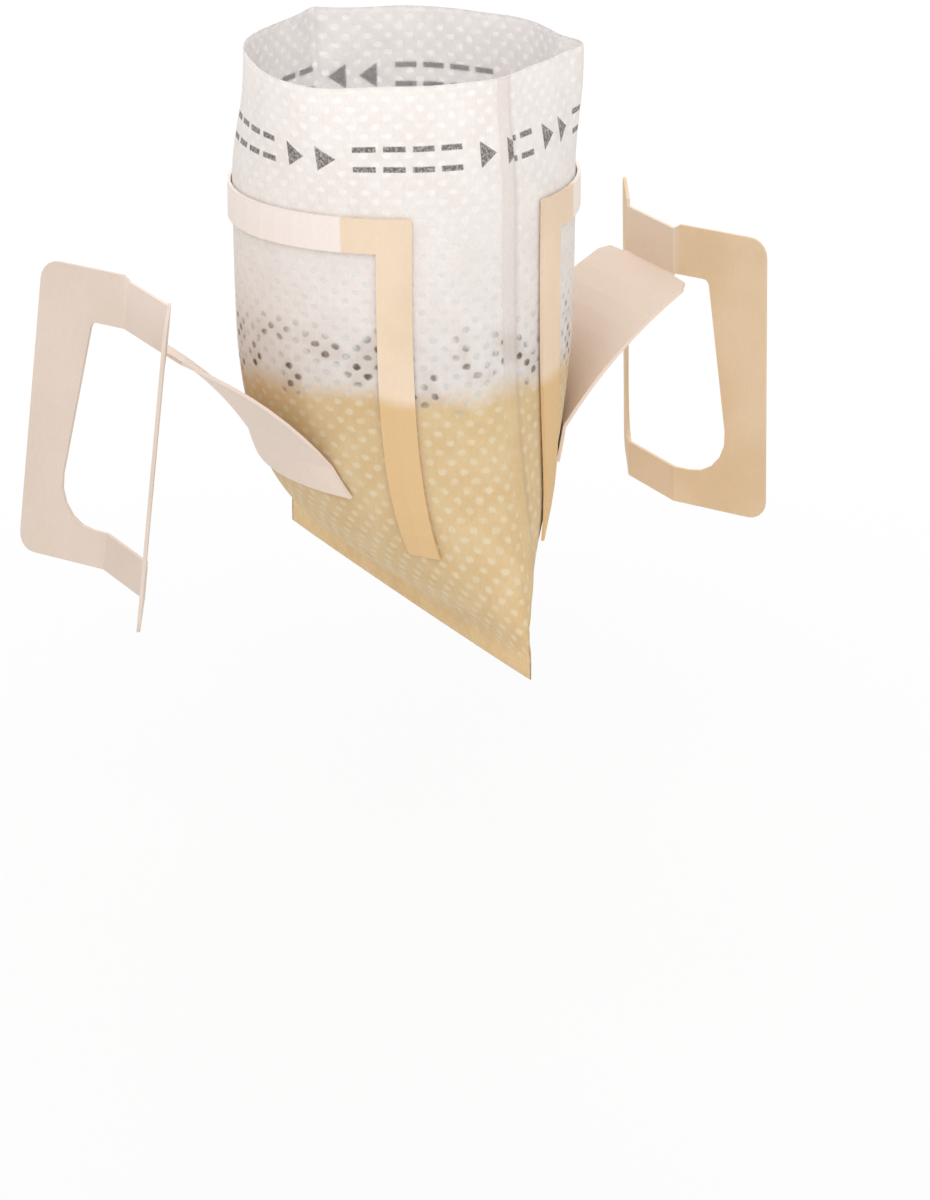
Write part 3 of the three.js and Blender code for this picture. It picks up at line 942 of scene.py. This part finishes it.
def leaf_faces(start):
    """Faces of one leaf: both sides, then the two long edges, then the two ends."""
    span = LEAF_COLUMNS + 1
    under = start + (LEAF_ROWS + 1) * span
    faces = []
    for i in range(LEAF_ROWS):
        for j in range(LEAF_COLUMNS):
            a = start + i * span + j
            faces.append((a, a + span, a + span + 1, a + 1))
            b = under + i * span + j
            faces.append((b, b + 1, b + span + 1, b + span))
    for i in range(LEAF_ROWS):
        for j, flip in ((0, False), (LEAF_COLUMNS, True)):
            a, b = start + i * span + j, start + (i + 1) * span + j
            c, d = under + (i + 1) * span + j, under + i * span + j
            faces.append((a, b, c, d) if flip else (a, d, c, b))
    for j in range(LEAF_COLUMNS):
        for i, flip in ((0, True), (LEAF_ROWS, False)):
            a, b = start + i * span + j, start + i * span + j + 1
            c, d = under + i * span + j + 1, under + i * span + j
            faces.append((a, b, c, d) if flip else (a, d, c, b))
    return faces


def kept_inside(place):
    """Moves a point that lies outside the bag to just inside it."""
    section = section_near(place.z)
    reach = section.reach - CREASE_CLEARANCE
    place.y = max(-reach, min(reach, place.y))
    limit = section.room(place.y, FACE_CLEARANCE)
    place.x = max(-limit, min(limit, place.x))
    return place


class LeafHeap:
    """Leaves against the paper, leaves on top and a core under them, in one mesh inside the bag."""

    def __init__(self):
        leaves_low, leaves_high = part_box("tea_leaves")
        self.low = leaves_low.z / MM + HEAP_FOOT_RISE
        self.high = leaves_high.z / MM - HEAP_TOP_DROP
        self.draw = random.Random(LEAF_SEED)
        self.points = []
        self.faces = []

    def add_leaf(self, centre, outward, length):
        shape = leaf_points(self.draw, length)
        spin = self.draw.uniform(0, 2 * math.pi)
        frame_of_leaf = outward.to_track_quat("Z", "Y").to_matrix()
        start = len(self.points)
        for p in shape:
            turned = Vector((
                p.x * math.cos(spin) - p.y * math.sin(spin),
                p.x * math.sin(spin) + p.y * math.cos(spin),
                p.z,
            ))
            self.points.append(kept_inside(centre + frame_of_leaf @ turned) * MM)
        self.faces.extend(leaf_faces(start))

    def tilt(self, most):
        return self.draw.uniform(-most, most)

    def add_side_leaf(self):
        z = self.high - (self.high - self.low) * self.draw.random() ** SIDE_LEAF_CROWDING
        section = section_near(z)
        side = self.draw.choice((1, -1))
        u = self.tilt(SIDE_LEAF_REACH) * HALF_FACE
        inset = min(self.draw.uniform(*SIDE_LEAF_INSET), section.depth * SIDE_LEAF_DEEPEST)
        x, y = section.point(u, -inset)
        outward = Vector((
            side * (1 - abs(u) / HALF_FACE * SIDE_LEAF_TURN_X),
            side * y / section.reach * SIDE_LEAF_TURN_Y,
            SIDE_LEAF_LIFT,
        )).normalized()
        outward = (outward + Vector([self.tilt(SIDE_LEAF_TILT) for _ in range(3)])).normalized()
        self.add_leaf(Vector((side * x, side * y, z)), outward, self.draw.uniform(*SIDE_LEAF_LENGTHS))

    def add_top_leaf(self):
        section = section_near(self.high)
        reach = math.sqrt(self.draw.random()) * TOP_LEAF_SPREAD
        angle = self.draw.uniform(0, 2 * math.pi)
        y = math.sin(angle) * reach * section.reach * TOP_LEAF_REACH
        x = math.cos(angle) * reach * section.room(y, TOP_LEAF_CLEARANCE)
        lump = TOP_LUMP * ripple(x, y, 0, TOP_LUMP_SCALE, TOP_LUMP_START)
        outward = Vector([self.tilt(TOP_LEAF_TILT), self.tilt(TOP_LEAF_TILT), 1.0]).normalized()
        height = self.high - TOP_LEAF_DROP + lump + self.draw.uniform(*TOP_LEAF_HEIGHTS)
        self.add_leaf(Vector((x, y, height)), outward, self.draw.uniform(*TOP_LEAF_LENGTHS))

    def core_ring(self, z):
        """Adds the core's points at one level and gives the number of the first."""
        section = Section(z)
        start = len(self.points)
        inset = min(CORE_INSET, section.depth * CORE_DEEPEST)
        for side in (1, -1):
            for u in np.linspace(-HALF_FACE * CORE_REACH, HALF_FACE * CORE_REACH, CORE_STATIONS):
                x, y = section.point(u, -inset)
                lump = CORE_LUMP * ripple(x, y, z, CORE_LUMP_SCALE)
                self.points.append(Vector((side * (x - abs(lump)), side * y, z)) * MM)
        return start

    def add_core(self):
        levels = np.linspace(self.high - CORE_TOP_DROP, self.low, CORE_LEVELS)
        rings = [self.core_ring(z) for z in levels]
        count = 2 * CORE_STATIONS
        for upper, lower in zip(rings, rings[1:]):
            for i in range(count):
                after = (i + 1) % count
                self.faces.append((upper + i, lower + i, lower + after, upper + after))
        for start, up in ((rings[0], True), (rings[-1], False)):
            for i in range(CORE_STATIONS - 1):
                corners = (start + i, start + i + 1, start + count - 2 - i, start + count - 1 - i)
                self.faces.append(corners if up else tuple(reversed(corners)))

    def finish(self, name, material):
        mesh = bpy.data.meshes.new(name)
        mesh.from_pydata([tuple(p) for p in self.points], [], self.faces)
        mesh.materials.append(material)
        mesh.polygons.foreach_set("use_smooth", [True] * len(self.faces))
        mesh.update()
        return add_object(name, mesh)


def make_leaves(material):
    leaves = LeafHeap()
    for _ in range(SIDE_LEAF_COUNT):
        leaves.add_side_leaf()
    for _ in range(TOP_LEAF_COUNT):
        leaves.add_top_leaf()
    leaves.add_core()
    heap = leaves.finish("soaked_leaves", material)
    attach(heap, "root")
    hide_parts("tea_leaves")


def dress(node, material):
    """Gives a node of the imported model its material."""
    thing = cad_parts[node]
    thing.data.materials.clear()
    thing.data.materials.append(material)


bpy.context.scene.view_settings.view_transform = "Standard"
make_camera()
make_world()
make_lamp("key", KEY_POWER, KEY_SIZE, KEY_PLACE)
make_lamp("back", BACK_POWER, BACK_SIZE, BACK_PLACE)
make_floor()

outside = make_paper(
    "filter_paper_outside", ink_strength=0.9, translucence=0.24, upper_dots=0.05, dry_tones=OUTER_TONES,
)
# The inside paper's paler tones are painted light for the shaded inner wall
inside = make_paper(
    "filter_paper_inside", ink_strength=0.38, translucence=0.72, upper_dots=0.46, dry_tones=INNER_PAINTED_LIGHT_TONES,
)
make_bag(outside, inside)
frame_card = make_card("frame_card", FRAME_TONES, FRAME_SOAKED_TONE, FRAME_MIDDLE_TONE)
right_card = make_card("right_ear_card", RIGHT_EAR_TONES, tongue_tone=RIGHT_TONGUE_TONE)
left_card = make_card("left_ear_card", LEFT_EAR_TONES, tongue_tone=LEFT_TONGUE_TONE)
dress("left_card_frame", frame_card)
dress("right_card_frame", frame_card)
dress("left_ear", left_card)
dress("right_ear", right_card)
make_leaves(make_leaf_material())
